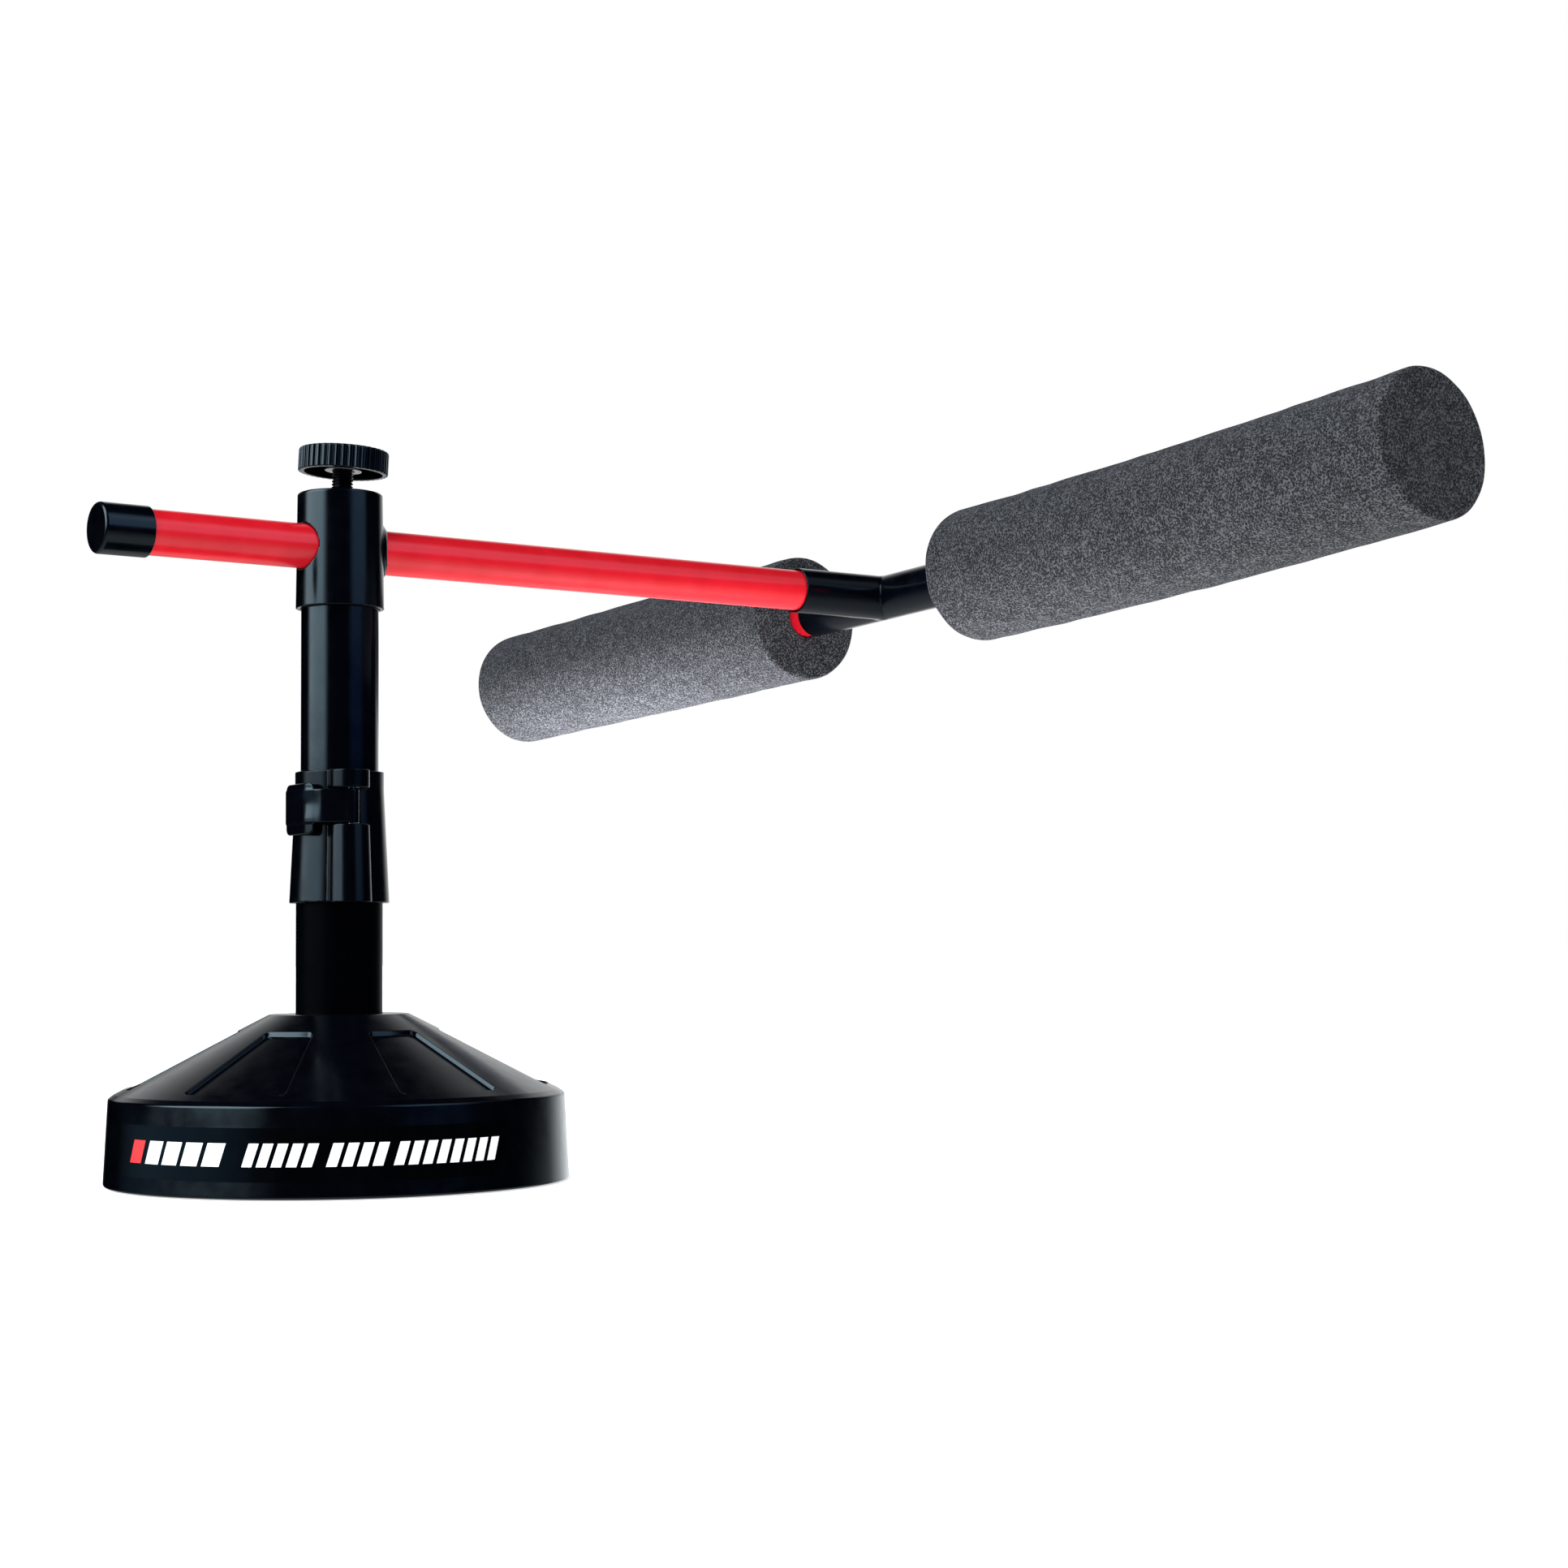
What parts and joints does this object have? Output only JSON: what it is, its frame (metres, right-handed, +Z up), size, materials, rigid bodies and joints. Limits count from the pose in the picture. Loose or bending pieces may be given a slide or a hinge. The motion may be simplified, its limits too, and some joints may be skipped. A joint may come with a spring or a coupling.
{
  "type": "golf swing path trainer",
  "caption": "Weighted round foot with a telescopic post; a clamped cross arm carries a crossbar of foam rolls beside the ball line.",
  "frame": {"origin": "on the ground under the post's axis, at the middle of the non-slip pad's underside", "axes": "+Z up along the post, +X along the cross arm from the head to the tee, -Y towards the raised end of the crossbar"},
  "size_m": [0.4822, 0.7595, 0.3553],
  "materials": {
    "black_plastic": "gloss",
    "black_tube": "gloss",
    "red_tube": "gloss",
    "foam": "matte",
    "rubber": "matte",
    "zinc": "satin",
    "black_steel": "satin",
    "nylon": "satin",
    "cement": "matte",
    "label_film": "gloss",
    "label_white": "satin",
    "label_red": "satin"
  },
  "bodies": {
    "foot": {"base_shell": "black_plastic", "base_bottom_plate": "black_plastic", "ballast": "cement", "non_slip_pad": "rubber", "base_screw_1": "zinc", "base_screw_2": "zinc", "base_screw_3": "zinc", "base_screw_4": "zinc", "front_label": "label_film", "lower_tube": "black_tube", "lower_tube_plug": "nylon", "post_bolt": "zinc", "post_washer": "zinc", "clamp_collar": "black_plastic", "clamp_lever_pin": "zinc"},
    "lever": {"clamp_lever": "black_plastic"},
    "pad": {"clamp_pad": "nylon"},
    "glide": {"upper_tube_glide": "nylon"},
    "mast": {"upper_tube": "black_tube", "arm_head": "black_plastic", "head_screw": "black_steel", "captive_nut": "zinc"},
    "shoe": {"clamp_shoe": "nylon"},
    "thumb_screw": {"knob": "black_plastic", "knob_stud": "black_steel", "knob_washer": "zinc"},
    "arm": {"arm_tube": "red_tube", "arm_end_cap": "black_plastic"},
    "crossbar": {"tee_fitting": "black_plastic", "bar_tube_front": "red_tube", "bar_tube_rear": "red_tube", "bar_end_plug_front": "nylon", "bar_end_plug_rear": "nylon", "foam_roll_front": "foam", "foam_roll_rear": "foam"}
  },
  "joints": [
    {"name": "lever_turn", "type": "hinge", "parent": "foot", "child": "lever", "pos_m": [-0.00691, -0.02424, 0.173], "axis": [0, 0, 1], "range_deg": [0, 140]},
    {"name": "pad_release", "type": "slide", "parent": "foot", "child": "pad", "axis": [-0.2588, -0.9659, 0], "range_m": [0, 0.0006]},
    {"name": "height_slide", "type": "slide", "parent": "foot", "child": "glide", "axis": [0, 0, 1], "range_m": [-0.076, 0.045]},
    {"name": "post_swivel", "type": "hinge", "parent": "glide", "child": "mast", "pos_m": [0, 0, 0.2], "axis": [0, 0, 1], "continuous": true},
    {"name": "knob_lift", "type": "slide", "parent": "mast", "child": "shoe", "axis": [0.0406, -0.0302, 0.9987], "range_m": [0, 0.003]},
    {"name": "knob_turn", "type": "hinge", "parent": "shoe", "child": "thumb_screw", "pos_m": [0, 0, 0.305], "axis": [0.0406, -0.0302, 0.9987], "range_deg": [0, 720]},
    {"name": "arm_slide", "type": "slide", "parent": "mast", "child": "arm", "axis": [1, 0, 0], "range_m": [-0.24, 0.073]},
    {"name": "arm_roll", "type": "hinge", "parent": "arm", "child": "crossbar", "pos_m": [0.327, 0, 0.295], "axis": [1, 0, 0], "range_deg": [-25, 25]}
  ],
  "couplings": [
    {"joint": "pad_release", "follows": "lever_turn", "m_per_rad": 0.000245},
    {"joint": "knob_lift", "follows": "knob_turn", "m_per_rad": 0.00023873}
  ]
}
